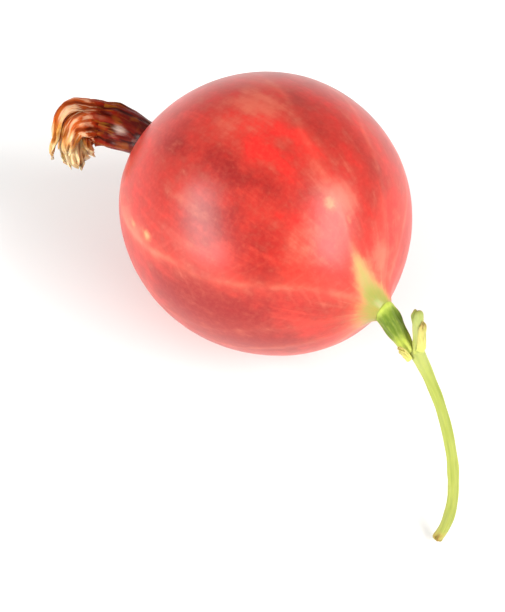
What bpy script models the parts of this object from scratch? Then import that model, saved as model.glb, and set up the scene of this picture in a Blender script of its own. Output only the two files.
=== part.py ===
"""A ripe red gooseberry, as picked, lying on its side: berry, withered flower and stalk.

Metres, +Z up. The origin is the middle of the flat spot that the berry rests on. +X runs along the
berry's axis, from the withered flower to the stalk, whose cut end comes down to the resting surface.
"""

import math

import bmesh
import bpy
import numpy as np
from mathutils import Vector

MM = 0.001

# Berry
BERRY_LENGTH = 22.8 * MM
BERRY_WIDTH = 21.4 * MM
REST_SPOT_RADIUS = 2.4 * MM
AXIS_TILT = 0.48 * MM  # the stalk end stands this much above the middle, and the flower end below it
AXIS_SAG = 0.33 * MM  # both ends hang this much below a straight axis
AXIS_BOW = 0.78 * MM  # both ends bow this much towards -Y
COLLAR_RISE = 0.22 * MM  # the raised ring of skin round the withered flower
COLLAR_RADIUS = 1.75 * MM
COLLAR_SPREAD = 0.6 * MM
NECK_RISE = 0.8 * MM  # the skin drawn up round the stalk, at the stalk's radius and falling away from it
NECK_RADIUS = 0.9 * MM
NECK_SPREAD = 0.65 * MM
SHOULDER_RISE = 0.45 * MM  # the whole stalk end is drawn out this much too, in a broad bell
SHOULDER_SPREAD = 5.5 * MM
CENTRE_HEIGHT = math.sqrt((BERRY_WIDTH / 2) ** 2 - REST_SPOT_RADIUS**2)

# Every piece keeps this gap to its neighbour.
GAP = 0.3 * MM

# Withered flower: its line from the berry, out and over into a hook
FLOWER_LINE = [
    (-11.35, -0.80, 9.62),
    (-12.60, -0.89, 9.47),
    (-14.75, -1.42, 9.36),
    (-16.15, -2.19, 9.18),
    (-16.77, -3.24, 8.72),
    (-16.40, -4.34, 7.98),
    (-15.55, -5.03, 7.34),
]
TUBE_SHARE = 0.5  # the tube takes this share of the line, and the sepals hook over beyond it
TUBE_CLEARANCE = 1.4 * GAP  # between the collar and the tube
MOUTH_CLEARANCE = 1.6 * GAP  # between the tube's mouth and the sepals
TUBE_RADII = (1.3 * MM, 1.45 * MM, 1.65 * MM, 1.75 * MM, 1.75 * MM)  # from the berry to its mouth
SEPAL_COUNT = 5
SEPAL_THICKNESS = 0.3 * MM
SEPAL_SPREADS = (1.6 * MM, 1.6 * MM, 1.5 * MM, 0.9 * MM, 1.2 * MM)  # how far each foot is from the line
SEPAL_CLOSE = 0.9 * MM  # and how far each tip is
SEPAL_HALF_ANGLE = math.radians(28)
SEPAL_ENDS = (0.97, 0.9, 1.0, 0.93, 0.86)  # where each sepal ends, as a share of the flower's line
PETAL_COUNT = 2
PETAL_THICKNESS = 0.25 * MM
PETAL_SPREAD = 0.45 * MM
PETAL_HALF_ANGLE = math.radians(62)
PETAL_START = 0.72  # where the petals start and end, as a share of the flower's line
PETAL_END = 0.985

# Stalk: the berry's own pedicel, then the peduncle that ends on the resting surface
PEDICEL_LINE = [
    (11.38, -0.71, 10.60),
    (12.50, -0.72, 10.43),
    (13.96, -1.04, 9.92),
    (15.80, -1.47, 9.08),
]
PEDICEL_RADII = (0.92 * MM, 0.84 * MM, 0.66 * MM, 0.48 * MM)
PEDUNCLE_LINE = [
    (16.38, -1.14, 8.99),
    (18.47, -1.88, 7.88),
    (20.35, -2.70, 6.68),
    (22.23, -3.85, 5.19),
    (23.56, -4.98, 3.72),
    (24.46, -6.13, 2.28),
    (24.86, -7.26, 1.20),
    (24.89, -8.25, 0.45),
]
PEDUNCLE_RADII = (0.5 * MM, 0.45 * MM, 0.42 * MM, 0.42 * MM, 0.42 * MM, 0.41 * MM, 0.36 * MM)
STUB_LINE = [
    (16.38, -1.14, 8.99),
    (16.09, -0.76, 9.81),
    (15.68, -0.38, 10.57),
    (14.88, 0.33, 11.58),
]
STUB_RADII = (0.42 * MM, 0.4 * MM, 0.46 * MM)
STUB_START = 0.32  # the stub starts clear of the joint, at this share of its line

# Bracts: thin scales that hug the stub and the end of the pedicel, each with its line, where it starts
# and ends along it, the angle round it that it faces, and its distance from it
BRACT_THICKNESS = 0.25 * MM
BRACT_HALF_ANGLE = math.radians(40)
BRACTS = (
    {"on": STUB_LINE, "side": (1, 0, 0), "start": 0.3, "end": 0.72, "facing": -12, "spread": 0.86 * MM},
    {"on": PEDICEL_LINE, "side": (0, 0, 1), "start": 1.0, "end": 0.82, "facing": 78, "spread": 1.04 * MM},
)

LINE_STEPS = 81  # points that a line is worked out at
SPAN_STEPS = 20  # points worked out between two of a line's own points
ROUTE_STEPS = 24  # points that a long tube is drawn through
SHORT_ROUTE_STEPS = 12
STUB_STEPS = 8
TUBE_BEVEL_RESOLUTION = 3


def clear_scene():
    for obj in list(bpy.data.objects):
        bpy.data.objects.remove(obj, do_unlink=True)


def new_collection(name):
    collection = bpy.data.collections.new(name)
    bpy.context.scene.collection.children.link(collection)
    return collection


def new_material(name, colour, roughness):
    material = bpy.data.materials.new(name)
    material.use_nodes = True
    shader = material.node_tree.nodes["Principled BSDF"]
    shader.inputs["Base Color"].default_value = (*colour, 1.0)
    shader.inputs["Roughness"].default_value = roughness
    shader.inputs["Metallic"].default_value = 0.0
    return material


def add_object(name, data, material, collection):
    data.materials.append(material)
    obj = bpy.data.objects.new(name, data)
    collection.objects.link(obj)
    return obj


def smooth_route(points, steps):
    """Catmull-Rom curve through the points, read at equal steps along its length. Points in mm, result in
    m."""
    knots = np.array(points, float) * MM
    knots = np.vstack([2 * knots[0] - knots[1], knots, 2 * knots[-1] - knots[-2]])
    fine = []
    for before, start, end, after in zip(knots, knots[1:], knots[2:], knots[3:]):
        t = np.linspace(0, 1, SPAN_STEPS, endpoint=False)[:, None]
        fine.append(
            0.5
            * (
                2 * start
                + (end - before) * t
                + (2 * before - 5 * start + 4 * end - after) * t**2
                + (3 * start - before - 3 * end + after) * t**3
            )
        )
    fine = np.vstack(fine + [knots[-2:-1]])
    along = np.concatenate([[0], np.cumsum(np.linalg.norm(np.diff(fine, axis=0), axis=1))])
    wanted = np.linspace(0, along[-1], steps)
    return np.column_stack([np.interp(wanted, along, fine[:, k]) for k in range(3)])


def route_frames(route, first_side):
    """Two unit vectors across the route at each of its points, carried along it without twisting."""
    ahead = np.gradient(route, axis=0)
    ahead /= np.linalg.norm(ahead, axis=1)[:, None]
    side = np.array(first_side, float)
    sides = []
    for direction in ahead:
        side = side - (side @ direction) * direction
        side = side / np.linalg.norm(side)
        sides.append(side)
    sides = np.array(sides)
    return sides, np.cross(ahead, sides)


def along_route(values, route, shares):
    """Reads the rows of values at each share, 0 to 1, of the route's length."""
    own_shares = np.linspace(0, 1, len(route))
    return np.column_stack([np.interp(shares, own_shares, values[:, k]) for k in range(3)])


def round_line(points, first_side):
    """A function that finds a point round a line: at a share of its length, at an angle and a distance."""
    route = smooth_route(points, LINE_STEPS)
    sides, crosses = route_frames(route, first_side)

    def at(share, angle, distance):
        centre, side, cross = (along_route(rows, route, [share])[0] for rows in (route, sides, crosses))
        return Vector(centre + distance * (math.cos(angle) * side + math.sin(angle) * cross))

    return at


def route_length(route):
    return np.linalg.norm(np.diff(route, axis=0), axis=1).sum()


def berry_skin(point):
    """Moves a point of a unit sphere, whose poles are at +X and -X, onto the berry."""
    half_length, half_width = BERRY_LENGTH / 2, BERRY_WIDTH / 2
    off_axis = math.hypot(point.y, point.z) * half_width
    share = point.x
    if share > 0:
        rise = NECK_RISE * math.exp(-max(off_axis - NECK_RADIUS, 0) / NECK_SPREAD)
        rise += SHOULDER_RISE * math.exp(-((off_axis / SHOULDER_SPREAD) ** 2)) * min(1, 4 * share)
    else:
        rise = -COLLAR_RISE * math.exp(-(((off_axis - COLLAR_RADIUS) / COLLAR_SPREAD) ** 2))
    return Vector(
        (
            share * half_length + rise,
            point.y * half_width - AXIS_BOW * share**4,
            CENTRE_HEIGHT + point.z * half_width + AXIS_TILT * share - AXIS_SAG * share**4,
        )
    )


def make_berry(material, collection):
    """One solid: a slightly long ball, drawn up at the stalk, ringed at the flower, flat where it rests."""
    mesh = bmesh.new()
    bmesh.ops.create_uvsphere(mesh, u_segments=56, v_segments=40, radius=1.0)
    for vertex in mesh.verts:
        x, y, z = vertex.co
        vertex.co = berry_skin(Vector((z, y, -x)))
    cut = bmesh.ops.bisect_plane(
        mesh,
        geom=mesh.verts[:] + mesh.edges[:] + mesh.faces[:],
        dist=0.02 * MM,
        plane_co=(0, 0, 0),
        plane_no=(0, 0, -1),
        clear_outer=True,
    )
    rim = [item for item in cut["geom_cut"] if isinstance(item, bmesh.types.BMEdge)]
    for vertex in {vertex for edge in rim for vertex in edge.verts}:
        vertex.co.z = 0.0
    bmesh.ops.edgenet_fill(mesh, edges=rim)
    bmesh.ops.recalc_face_normals(mesh, faces=mesh.faces[:])
    data = bpy.data.meshes.new("berry")
    mesh.to_mesh(data)
    mesh.free()
    data.shade_smooth()
    data.set_sharp_from_angle(angle=math.radians(30))
    return add_object("berry", data, material, collection)


def make_tube(name, route, radii, material, collection):
    """A round stem along the route, whose radius is read from a few values spread along its length."""
    curve = bpy.data.curves.new(name, "CURVE")
    curve.dimensions = "3D"
    curve.bevel_depth = 1.0
    curve.bevel_resolution = TUBE_BEVEL_RESOLUTION
    curve.use_fill_caps = True
    spline = curve.splines.new("POLY")
    spline.points.add(len(route) - 1)
    spread = np.interp(np.linspace(0, 1, len(route)), np.linspace(0, 1, len(radii)), radii)
    for place, where, radius in zip(spline.points, route, spread):
        place.co = (*where, 1.0)
        place.radius = radius
    spline.use_smooth = True
    return add_object(name, curve, material, collection)


def make_strap(name, place, thickness, steps_along, steps_across, material, collection):
    """A thin scale: a grid laid out by place(share along, side to side from -1 to 1), then thickened."""
    mesh = bmesh.new()
    bmesh.ops.create_grid(mesh, x_segments=steps_along, y_segments=steps_across, size=1.0)
    for vertex in mesh.verts:
        vertex.co = place((vertex.co.x + 1) / 2, vertex.co.y)
    data = bpy.data.meshes.new(name)
    mesh.to_mesh(data)
    mesh.free()
    data.shade_smooth()
    obj = add_object(name, data, material, collection)
    solidify = obj.modifiers.new("thickness", "SOLIDIFY")
    solidify.thickness = thickness
    solidify.offset = 0.0
    return obj


def lobe_width(share, tip_width=0.3):
    """How wide a sepal, petal or bract is at this share of its length, 1 at its foot: a root of the share
    rounds it off to its width at the tip."""
    return tip_width + (1 - tip_width) * math.sqrt(max(0.0, 1 - share**3))


def make_flower(tube_material, petal_material, collection):
    route = smooth_route(FLOWER_LINE, LINE_STEPS)
    length = route_length(route)
    at = round_line(FLOWER_LINE, (0, 0, 1))
    tube_shares = np.linspace(TUBE_CLEARANCE / length, TUBE_SHARE, ROUTE_STEPS)
    make_tube("flower_tube", along_route(route, route, tube_shares), TUBE_RADII, tube_material, collection)

    start = TUBE_SHARE + MOUTH_CLEARANCE / length
    for number in range(SEPAL_COUNT):
        middle = math.tau * (number + 0.5) / SEPAL_COUNT
        end = SEPAL_ENDS[number]

        def sepal_point(share, across):
            spread = SEPAL_SPREADS[number] + (SEPAL_CLOSE - SEPAL_SPREADS[number]) * share
            angle = middle + across * SEPAL_HALF_ANGLE * lobe_width(share)
            return at(start + (end - start) * share, angle, spread)

        make_strap(f"sepal_{number + 1}", sepal_point, SEPAL_THICKNESS, 9, 4, tube_material, collection)

    for number in range(PETAL_COUNT):
        middle = math.pi * (number + 0.5)

        def petal_point(share, across):
            angle = middle + across * PETAL_HALF_ANGLE * lobe_width(share)
            return at(PETAL_START + (PETAL_END - PETAL_START) * share, angle, PETAL_SPREAD)

        make_strap(f"petal_{number + 1}", petal_point, PETAL_THICKNESS, 6, 3, petal_material, collection)


def make_stalk(pedicel_material, stalk_material, collection):
    pedicel_line = smooth_route(PEDICEL_LINE, LINE_STEPS)
    clear_of_skin = (NECK_RISE + SHOULDER_RISE + GAP) / route_length(pedicel_line)
    pedicel_shares = np.linspace(clear_of_skin, 1, SHORT_ROUTE_STEPS)
    pedicel_route = along_route(pedicel_line, pedicel_line, pedicel_shares)
    make_tube("pedicel", pedicel_route, PEDICEL_RADII, pedicel_material, collection)
    peduncle_route = smooth_route(PEDUNCLE_LINE, ROUTE_STEPS)
    make_tube("peduncle", peduncle_route, PEDUNCLE_RADII, stalk_material, collection)
    stub_line = smooth_route(STUB_LINE, LINE_STEPS)
    stub_route = along_route(stub_line, stub_line, np.linspace(STUB_START, 1, STUB_STEPS))
    make_tube("side_stub", stub_route, STUB_RADII, stalk_material, collection)


def make_bracts(material, collection):
    for number, bract in enumerate(BRACTS):
        at = round_line(bract["on"], bract["side"])
        start, end = bract["start"], bract["end"]

        def bract_point(share, across):
            angle = math.radians(bract["facing"]) + across * BRACT_HALF_ANGLE * lobe_width(share)
            return at(start + (end - start) * share, angle, bract["spread"])

        make_strap(f"bract_{number + 1}", bract_point, BRACT_THICKNESS, 6, 4, material, collection)


def main():
    clear_scene()
    collection = new_collection("gooseberry")
    skin = new_material("berry_skin", (0.72, 0.09, 0.07), 0.35)
    withered = new_material("withered_flower", (0.30, 0.09, 0.035), 0.6)
    petal = new_material("withered_petal", (0.80, 0.55, 0.25), 0.6)
    pedicel = new_material("pedicel_green", (0.25, 0.36, 0.06), 0.5)
    stalk = new_material("stalk_green", (0.55, 0.62, 0.14), 0.5)
    make_berry(skin, collection)
    make_flower(withered, petal, collection)
    make_stalk(pedicel, stalk, collection)
    make_bracts(stalk, collection)


main()
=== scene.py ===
"""The looks of a ripe red gooseberry, as picked, lying on its side.

Metres, +Z up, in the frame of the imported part. The berry's axis runs along +X, from its withered flower
to its stalk, and both the berry and the broken end of the stalk rest on z = 0.
"""

import math

import bmesh
import bpy
import numpy as np
from mathutils import Matrix, Vector


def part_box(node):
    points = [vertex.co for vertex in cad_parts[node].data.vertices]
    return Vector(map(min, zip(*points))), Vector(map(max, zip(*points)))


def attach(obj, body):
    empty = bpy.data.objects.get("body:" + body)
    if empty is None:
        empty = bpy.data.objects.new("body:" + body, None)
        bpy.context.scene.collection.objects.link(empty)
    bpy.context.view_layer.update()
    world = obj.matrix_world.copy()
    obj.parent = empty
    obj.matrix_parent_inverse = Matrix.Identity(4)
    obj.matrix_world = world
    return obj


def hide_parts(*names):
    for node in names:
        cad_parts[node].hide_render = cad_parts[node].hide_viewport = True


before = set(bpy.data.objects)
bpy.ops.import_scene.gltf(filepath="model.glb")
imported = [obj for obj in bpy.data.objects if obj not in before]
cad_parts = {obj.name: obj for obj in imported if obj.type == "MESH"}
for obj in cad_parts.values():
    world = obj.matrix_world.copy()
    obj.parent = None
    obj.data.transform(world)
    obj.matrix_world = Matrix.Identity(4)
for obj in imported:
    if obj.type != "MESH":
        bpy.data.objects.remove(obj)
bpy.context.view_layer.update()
MM = 0.001


# ------------------------------------------------------------------------------
# Berry. One ripe fruit, grown in one piece: a thin, tight, translucent red skin over soft pulp. Pale
# veins run under the skin from the flower to the stalk. It lies on its side, on a small flat spot.
# ------------------------------------------------------------------------------
NECK_RISE = 0.8 * MM  # the skin drawn up round the stalk
NECK_RADIUS = 0.9 * MM
NECK_SPREAD = 0.65 * MM
SHOULDER_RISE = 0.45 * MM  # the whole stalk end is drawn out this much too, in a broad bell
SHOULDER_SPREAD = 5.5 * MM
NECK_LEAN = 0.13  # how far the neck leans down with the stalk, for each unit that it rises
COLLAR_RISE = 0.22 * MM  # the raised ring of skin round the withered flower
COLLAR_RADIUS = 1.75 * MM
COLLAR_SPREAD = 0.6 * MM
AXIS_TILT = 0.48 * MM  # lifts the stalk end by this much and lowers the flower end as much
AXIS_SAG = 0.33 * MM  # lowers both ends
AXIS_BOW = 0.78 * MM  # moves both ends towards -Y
REST_ROUNDING = 0.12 * MM  # how softly the skin turns onto the flat spot
BERRY_ROWS = 220
BERRY_COLUMNS = 440
ROW_CROWDING = 0.7  # how much closer the rows lie at both ends than in the middle

berry_low, berry_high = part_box("berry")
half_width = (berry_high.y - berry_low.y) / 2
half_length = berry_high.x - NECK_RISE - SHOULDER_RISE
centre_height = berry_high.z - half_width

# Each vein: its angle round the axis, in degrees from +Y up over the berry, at the flower end, in the
# middle and at the stalk end, and how strongly it shows. The third is the one that the green streak takes.
VEINS = (
    (164, 161, 138, 1.0),
    (122, 121, 114, 0.1),
    (42, 76, 99, 0.4),
    (22, 44, 64, 0.5),
    (-2, 8, 34, 0.8),
    (-30, -27, 0, 0.5),
    (-62, -60, -50, 0.9),
    (-98, -92, -84, 0.6),
    (-128, -130, -136, 1.0),
    (-160, -158, -163, 0.5),
    (194, 191, 171, 0.4),
)
STREAKED_VEIN = VEINS[2]
VEIN_ANGLE_STEP = math.radians(60)  # how far apart those three places are, seen from the berry's middle
VEIN_WIDTH = 0.36 * MM
VEIN_FLARE = 3.0 * MM  # a vein is wider within about this distance of either end
VEIN_RELIEF = 0.018 * MM
VEIN_GLOW = 1.3 * MM  # how far the paler flesh round a vein reaches
SWELLING = 0.02 * MM  # the height of the skin's broad waves

# Each patch of deeper or brighter red: its angle round the axis and from the stalk end, in degrees, its
# reach round and along the berry, and its depth, below nought where it is brighter than the skin. Most
# are the skin's own mottling. The deep ones from 181 to 206 degrees round are painted shade on the
# berry's lower side, and the deep one at 135, 86 is painted shade under the left highlight, to dim it.
PATCHES_AND_SHADE = (
    (121, 122, 1.0 * MM, 1.5 * MM, 0.7),
    (118, 113, 0.9 * MM, 1.6 * MM, 0.7),
    (113, 98, 0.9 * MM, 1.3 * MM, 0.7),
    (115, 87, 1.0 * MM, 1.4 * MM, 1.2),
    (112, 78, 0.7 * MM, 1.0 * MM, 0.4),
    (109, 74, 1.0 * MM, 1.2 * MM, 0.7),
    (100, 74, 0.8 * MM, 1.3 * MM, -0.8),
    (101, 85, 0.9 * MM, 1.4 * MM, -0.9),
    (94, 93, 1.0 * MM, 1.8 * MM, -0.7),
    (87, 84, 0.8 * MM, 1.6 * MM, -0.6),
    (84, 72, 0.9 * MM, 1.4 * MM, -0.6),
    (75, 80, 0.9 * MM, 2.4 * MM, 0.6),
    (68, 93, 0.8 * MM, 2.0 * MM, 0.5),
    (62, 68, 0.8 * MM, 2.4 * MM, 0.3),
    (57, 52, 0.9 * MM, 2.0 * MM, 0.9),
    (53, 32, 0.8 * MM, 1.8 * MM, -0.7),
    (135, 86, 2.0 * MM, 2.8 * MM, 1.2),
    (141, 61, 1.6 * MM, 1.8 * MM, 0.5),
    (128, 58, 1.0 * MM, 1.2 * MM, 0.5),
    (144, 57, 1.0 * MM, 1.3 * MM, 0.5),
    (166, 76, 1.5 * MM, 2.6 * MM, 1.1),
    (172, 92, 1.4 * MM, 2.2 * MM, 0.6),
    (168, 56, 1.6 * MM, 2.2 * MM, 0.8),
    (181, 68, 1.9 * MM, 3.6 * MM, 1.1),
    (150, 40, 1.2 * MM, 1.6 * MM, 0.4),
    (164, 103, 0.8 * MM, 1.2 * MM, -0.5),
    (108, 41, 1.3 * MM, 1.4 * MM, -0.6),
    (116, 52, 1.0 * MM, 1.4 * MM, -0.4),
    (28, 84, 2.0 * MM, 3.6 * MM, 0.8),
    (12, 60, 1.2 * MM, 2.2 * MM, -0.7),
    (-12, 98, 2.0 * MM, 3.2 * MM, 0.9),
    (-44, 72, 2.0 * MM, 3.4 * MM, 1.0),
    (-60, 110, 1.2 * MM, 2.4 * MM, -0.7),
    (-76, 98, 1.8 * MM, 2.8 * MM, 0.8),
    (-108, 80, 2.0 * MM, 4.0 * MM, 0.9),
    (-145, 100, 2.0 * MM, 3.4 * MM, 0.9),
    (-163, 42, 1.4 * MM, 2.4 * MM, 0.7),
    (206, 90, 1.6 * MM, 3.2 * MM, 0.7),
    (184, 80, 2.4 * MM, 4.8 * MM, 0.8),
    (196, 58, 2.0 * MM, 3.6 * MM, 0.8),
)

# Each pale patch: the same numbers, with how strongly it shows. Most are thin flesh under the skin, but
# the one at 68, 111 is painted light on the top of the berry, and the one at 89, 60 is a painted
# highlight beside the right highlight.
PALE_AND_LIT_PATCHES = (
    (163, 115, 0.9 * MM, 3.0 * MM, 1.0),
    (150, 92, 0.8 * MM, 2.2 * MM, 0.4),
    (86, 48, 1.3 * MM, 1.5 * MM, 0.7),
    (113, 50, 1.0 * MM, 1.2 * MM, 0.7),
    (75, 24, 0.9 * MM, 1.4 * MM, 0.7),
    (84, 100, 1.6 * MM, 2.4 * MM, 0.8),
    (99, 104, 1.3 * MM, 1.8 * MM, 0.6),
    (68, 111, 1.4 * MM, 2.0 * MM, 0.6),
    (64, 17, 1.4 * MM, 2.2 * MM, 0.6),
    (89, 60, 0.8 * MM, 2.0 * MM, 0.6),
    (133, 98, 1.2 * MM, 1.8 * MM, 0.5),
    (128, 44, 1.4 * MM, 2.4 * MM, 0.5),
    (-20, 70, 1.6 * MM, 3.0 * MM, 0.6),
    (-90, 60, 1.6 * MM, 3.0 * MM, 0.6),
    (-125, 110, 1.5 * MM, 2.6 * MM, 0.5),
)

# Cream flecks on the veins: angle round the axis, angle from the stalk end, how far each reaches round
# and along the berry, and how strongly it shows.
FLECKS = (
    (95.5, 51.8, 0.5 * MM, 0.56 * MM, 0.7),
    (91, 42, 0.2 * MM, 0.4 * MM, 0.5),
    (161.4, 117.2, 0.28 * MM, 0.45 * MM, 0.7),
    (158.9, 107.1, 0.4 * MM, 0.5 * MM, 0.9),
    (-59, 70, 0.35 * MM, 0.5 * MM, 0.8),
    (-128, 62, 0.3 * MM, 0.45 * MM, 0.8),
    (8, 112, 0.35 * MM, 0.5 * MM, 0.8),
)


def shade(red, green, blue):
    """A colour from its display values, 0 to 255, in the linear numbers that a shader takes."""
    return (*(((value / 255 + 0.055) / 1.055) ** 2.4 for value in (red, green, blue)), 1.0)


def rise(low, high, value):
    """Nought at low, one at high, and a smooth S between them. Low may be the larger of the two."""
    share = np.clip((value - low) / (high - low), 0, 1)
    return share * share * (3 - 2 * share)


def vein_turn(vein, along):
    """The curve of second degree in the angle from the stalk end that passes through a vein's three
    angles round the axis, 60 degrees apart, with two slow sine waves so that it wanders."""
    flower_end, middle, stalk_end = np.radians(vein[:3])
    step = (math.pi / 2 - along) / VEIN_ANGLE_STEP
    bend = (stalk_end + flower_end) / 2 - middle
    wander = 0.02 * np.sin(6.5 * along + 9 * middle) + 0.008 * np.sin(14 * along + 5 * middle)
    return middle + (stalk_end - flower_end) / 2 * step + bend * step**2 + wander


def off_line(around, line, from_axis):
    """How far a point lies from a line on the skin: the angle between them round the axis, taken the
    short way, times the distance from the axis."""
    return np.abs((around - line + math.pi) % math.tau - math.pi) * from_axis


def berry_skin(around, along, lift):
    """A slightly long ball. The cosine of the angle from the stalk end is the place on the axis, and its
    sine the distance from it. An exponential and a broad bell draw the skin up round the stalk, a bell
    curve raises a ring round the flower, both ends bow and sag with the fourth power of their distance
    from the middle, and a hyperbola rounds the skin off onto the surface that it rests on."""
    share = np.cos(along)
    from_axis = half_width * np.sin(along)
    neck = NECK_RISE * np.exp(-np.maximum(from_axis - NECK_RADIUS, 0) / NECK_SPREAD) * (share > 0)
    shoulder = SHOULDER_RISE * np.exp(-((from_axis / SHOULDER_SPREAD) ** 2)) * np.clip(4 * share, 0, 1)
    collar = COLLAR_RISE * np.exp(-(((from_axis - COLLAR_RADIUS) / COLLAR_SPREAD) ** 2)) * (share < 0)
    x = (half_length + lift) * share + neck + shoulder - collar
    y = (half_width + lift) * np.sin(along) * np.cos(around) - AXIS_BOW * share**4
    z = (half_width + lift) * np.sin(along) * np.sin(around) + AXIS_TILT * share - AXIS_SAG * share**4
    z = z + centre_height - NECK_LEAN * neck
    z = (z + np.sqrt(z**2 + REST_ROUNDING**2)) / 2
    return np.stack([x, y, z], -1)


def closed_skin(name, rings, ends, shares, marks):
    """A closed surface: rings of points, row after row from one end to the other, joined by four-sided
    faces, with a fan of triangles to a point at each end. The UV map holds the share of a turn and the
    share of the length, and each of marks is kept as an attribute of the points. Where the rings run the
    other way round, its volume comes out negative, and its faces are turned to point outwards."""
    rows, columns = rings.shape[:2]
    points = np.vstack([ends[0], rings.reshape(-1, 3), ends[1]])
    here = 1 + np.arange(rows * columns).reshape(rows, columns)
    beside = np.roll(here, -1, axis=1)
    sides = np.stack([here[:-1], beside[:-1], beside[1:], here[1:]], -1).reshape(-1, 4)
    foot = np.stack([beside[0], here[0], np.zeros(columns, int)], -1)
    tip = np.stack([here[-1], beside[-1], np.full(columns, len(points) - 1)], -1)
    mesh = bpy.data.meshes.new(name)
    mesh.from_pydata(points.tolist(), [], sides.tolist() + foot.tolist() + tip.tolist())

    left = np.arange(columns) / columns
    right = left + 1 / columns
    middle = (left + right) / 2
    turns = np.stack([left, right, right, left], -1)
    lengths = np.stack([shares[:-1], shares[:-1], shares[1:], shares[1:]], -1)
    side_map = np.stack(np.broadcast_arrays(turns[None], lengths[:, None]), -1).reshape(-1, 2)
    foot_lengths = np.tile([shares[0], shares[0], 0], (columns, 1))
    tip_lengths = np.tile([shares[-1], shares[-1], 1], (columns, 1))
    foot_map = np.stack([np.stack([right, left, middle], -1), foot_lengths], -1)
    tip_map = np.stack([np.stack([left, right, middle], -1), tip_lengths], -1)
    flat_map = np.vstack([side_map, foot_map.reshape(-1, 2), tip_map.reshape(-1, 2)])
    mesh.uv_layers.new(name="skin_map").data.foreach_set("uv", flat_map.astype(np.float32).ravel())

    for mark, values in marks.items():
        whole = np.concatenate([[values[0].mean()], values.ravel(), [values[-1].mean()]])
        mesh.attributes.new(mark, "FLOAT", "POINT").data.foreach_set("value", whole.astype(np.float32))
    mesh.shade_smooth()
    mesh.validate()
    shell = bmesh.new()
    shell.from_mesh(mesh)
    if shell.calc_volume(signed=True) < 0:
        mesh.flip_normals()
    shell.free()
    piece = bpy.data.objects.new(name, mesh)
    bpy.context.scene.collection.objects.link(piece)
    return piece


class Wire:
    """A value or a colour on its way from one node to the next. Arithmetic on values adds Math nodes."""

    def __init__(self, finish, socket):
        self.finish = finish
        self.socket = socket

    def math(self, operation, *others):
        """The result of a Math node that takes this value first and the others after it."""
        values = dict(enumerate((self, *others)))
        return self.finish.node("ShaderNodeMath", {"operation": operation}, values)

    def __add__(self, other):
        return self.math("ADD", other)

    def __sub__(self, other):
        return self.math("SUBTRACT", other)

    def __mul__(self, other):
        return self.math("MULTIPLY", other)

    def __truediv__(self, other):
        return self.math("DIVIDE", other)

    def __rsub__(self, other):
        return self.finish.node("ShaderNodeMath", {"operation": "SUBTRACT"}, {0: other, 1: self})

    __radd__ = __add__
    __rmul__ = __mul__


class Finish:
    """One material: its node tree, its Principled shader, and the method that adds any node to it."""

    def __init__(self, name, **constants):
        self.material = bpy.data.materials.new(name)
        self.material.use_nodes = True
        self.tree = self.material.node_tree
        self.shader = self.tree.nodes["Principled BSDF"]
        for socket, value in constants.items():
            self.shader.inputs[socket.replace("_", " ")].default_value = value

    def node(self, kind, settings, inputs, output=0):
        """Adds a node: first its settings, then the value or the link of each socket."""
        made = self.tree.nodes.new(kind)
        for setting, value in settings.items():
            if setting == "stops":
                while len(made.color_ramp.elements) < len(value):
                    made.color_ramp.elements.new(1.0)
                for element, (place, colour) in zip(made.color_ramp.elements, value):
                    element.position = place
                    element.color = colour
            else:
                setattr(made, setting, value)
        for socket, value in inputs.items():
            if isinstance(value, Wire):
                self.tree.links.new(value.socket, made.inputs[socket])
            else:
                made.inputs[socket].default_value = value
        return Wire(self, made.outputs[output])

    def place(self):
        """The place on the object, in metres."""
        return self.node("ShaderNodeTexCoord", {}, {}, "Object")

    def mark(self, name):
        """The value that the mesh keeps under that name."""
        return self.node("ShaderNodeAttribute", {"attribute_name": name}, {}, "Fac")

    def noise(self, size, detail=2.0, roughness=0.5, where=None):
        """Soft cloudy noise whose lumps are about size across, in metres, or in the units of where."""
        values = {"Scale": 1 / size, "Detail": detail, "Roughness": roughness}
        values["Vector"] = where or self.place()
        return self.node("ShaderNodeTexNoise", {}, values)

    def strands(self, turns, lengths, detail=3.0, roughness=0.6):
        """Noise drawn out along the piece: about so many lumps in one turn round it, and so many along."""
        mapped = self.node("ShaderNodeUVMap", {"uv_map": "skin_map"}, {})
        spread = {0: mapped, 1: (turns, lengths, 1.0)}
        stretched = self.node("ShaderNodeVectorMath", {"operation": "MULTIPLY"}, spread)
        return self.noise(1.0, detail, roughness, where=stretched)

    def fade(self, value, low, high):
        """Nought where value is low, one where it is high, and a smooth S between them, as rise does."""
        limits = {"Value": value, 1: low, 2: high}
        return self.node("ShaderNodeMapRange", {"interpolation_type": "SMOOTHSTEP"}, limits)

    def mix(self, mask, first, second):
        """The first colour where mask is nought, and the second where it is one."""
        return self.node("ShaderNodeMix", {"data_type": "RGBA"}, {0: mask, 6: first, 7: second}, 2)

    def lay_over(self, colour, layers):
        """Lays colours over the first one in turn. Each layer is its mask, its strength and its colour."""
        for mask, strength, tone in layers:
            colour = self.mix(mask * strength, colour, tone)
        return colour

    def paint(self, **sockets):
        """Links what changes over the surface to the shader's sockets."""
        for socket, wire in sockets.items():
            self.tree.links.new(wire.socket, self.shader.inputs[socket.replace("_", " ")])

    def bump(self, height, depth):
        """Tilts the surface as if it rose by depth, in metres, where height is one."""
        values = {"Height": height, "Distance": depth, "Strength": 1.0}
        self.paint(Normal=self.node("ShaderNodeBump", {}, values, "Normal"))


row_share = 1 - (np.arange(BERRY_ROWS) + 0.5) / BERRY_ROWS
row_along = math.pi * row_share - ROW_CROWDING / 2 * np.sin(math.tau * row_share)
around, along = np.meshgrid(np.arange(BERRY_COLUMNS) * math.tau / BERRY_COLUMNS, row_along)
from_axis = half_width * np.sin(along)
to_stalk = half_width * along
to_flower = half_width * (math.pi - along)

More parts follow.
